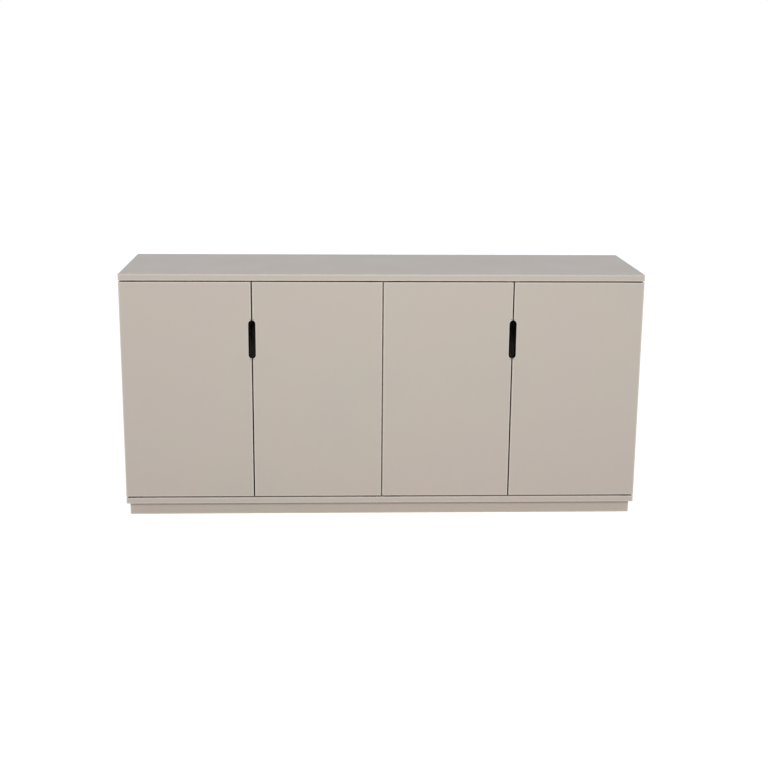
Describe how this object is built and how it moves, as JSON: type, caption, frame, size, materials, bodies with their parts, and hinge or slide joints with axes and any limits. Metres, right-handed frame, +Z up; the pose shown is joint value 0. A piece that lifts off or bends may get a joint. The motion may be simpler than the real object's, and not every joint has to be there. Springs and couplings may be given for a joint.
{
  "type": "office credenza",
  "caption": "Low office credenza with a flat top, hinged full-height doors in pairs with black finger slots between them, inner shelves and a recessed plinth.",
  "frame": {"origin": "on the floor, under the middle of the whole credenza (centre of its bounding box at the bottom)", "axes": "+X to the right along the length as seen from the doors, +Y from the doors to the back, +Z up"},
  "size_m": [1.524, 0.408, 0.736],
  "materials": {
    "lacquer": "satin greige lacquer on fibreboard",
    "pull": "matt black",
    "hinge_steel": "zinc-plated, satin",
    "pin_steel": "nickel-plated",
    "washer": "black nylon",
    "catch": "moulded, matt"
  },
  "bodies": {
    "carcass": {"top_panel": "lacquer", "bottom_panel": "lacquer", "left_side_panel": "lacquer", "right_side_panel": "lacquer", "centre_divider": "lacquer", "left_back_panel": "lacquer", "right_back_panel": "lacquer", "left_shelf": "lacquer", "right_shelf": "lacquer", "plinth_front_rail": "lacquer", "plinth_back_rail": "lacquer", "plinth_left_return": "lacquer", "plinth_right_return": "lacquer", "plinth_centre_bearer": "lacquer", "left_magnetic_catch": "catch", "right_magnetic_catch": "catch", "left_shelf_front_side_pin": "pin_steel", "left_shelf_front_divider_pin": "pin_steel", "left_shelf_rear_side_pin": "pin_steel", "left_shelf_rear_divider_pin": "pin_steel", "right_shelf_front_side_pin": "pin_steel", "right_shelf_front_divider_pin": "pin_steel", "right_shelf_rear_side_pin": "pin_steel", "right_shelf_rear_divider_pin": "pin_steel", "far_left_upper_carcass_leaf": "hinge_steel", "far_left_lower_carcass_leaf": "hinge_steel", "far_left_upper_pivot_washer": "washer", "far_left_lower_pivot_washer": "washer", "mid_left_upper_carcass_leaf": "hinge_steel", "mid_left_lower_carcass_leaf": "hinge_steel", "mid_left_upper_pivot_washer": "washer", "mid_left_lower_pivot_washer": "washer", "mid_right_upper_carcass_leaf": "hinge_steel", "mid_right_lower_carcass_leaf": "hinge_steel", "mid_right_upper_pivot_washer": "washer", "mid_right_lower_pivot_washer": "washer", "far_right_upper_carcass_leaf": "hinge_steel", "far_right_lower_carcass_leaf": "hinge_steel", "far_right_upper_pivot_washer": "washer", "far_right_lower_pivot_washer": "washer"},
    "far_left_door_body": {"far_left_door": "lacquer", "far_left_finger_pull": "pull", "far_left_strike": "hinge_steel", "far_left_upper_door_leaf": "hinge_steel", "far_left_lower_door_leaf": "hinge_steel"},
    "mid_left_door_body": {"mid_left_door": "lacquer", "mid_left_finger_pull": "pull", "mid_left_strike": "hinge_steel", "mid_left_upper_door_leaf": "hinge_steel", "mid_left_lower_door_leaf": "hinge_steel"},
    "mid_right_door_body": {"mid_right_door": "lacquer", "mid_right_finger_pull": "pull", "mid_right_strike": "hinge_steel", "mid_right_upper_door_leaf": "hinge_steel", "mid_right_lower_door_leaf": "hinge_steel"},
    "far_right_door_body": {"far_right_door": "lacquer", "far_right_finger_pull": "pull", "far_right_strike": "hinge_steel", "far_right_upper_door_leaf": "hinge_steel", "far_right_lower_door_leaf": "hinge_steel"}
  },
  "joints": [
    {"name": "far_left_door_swing", "type": "hinge", "parent": "carcass", "child": "far_left_door_body", "pos_m": [-0.753, -0.1965, 0.389], "axis": [0, 0, -1], "range_deg": [0, 110]},
    {"name": "mid_left_door_swing", "type": "hinge", "parent": "carcass", "child": "mid_left_door_body", "pos_m": [-0.011, -0.1965, 0.389], "axis": [0, 0, 1], "range_deg": [0, 90]},
    {"name": "mid_right_door_swing", "type": "hinge", "parent": "carcass", "child": "mid_right_door_body", "pos_m": [0.011, -0.1965, 0.389], "axis": [0, 0, -1], "range_deg": [0, 90]},
    {"name": "far_right_door_swing", "type": "hinge", "parent": "carcass", "child": "far_right_door_body", "pos_m": [0.753, -0.1965, 0.389], "axis": [0, 0, 1], "range_deg": [0, 110]}
  ]
}
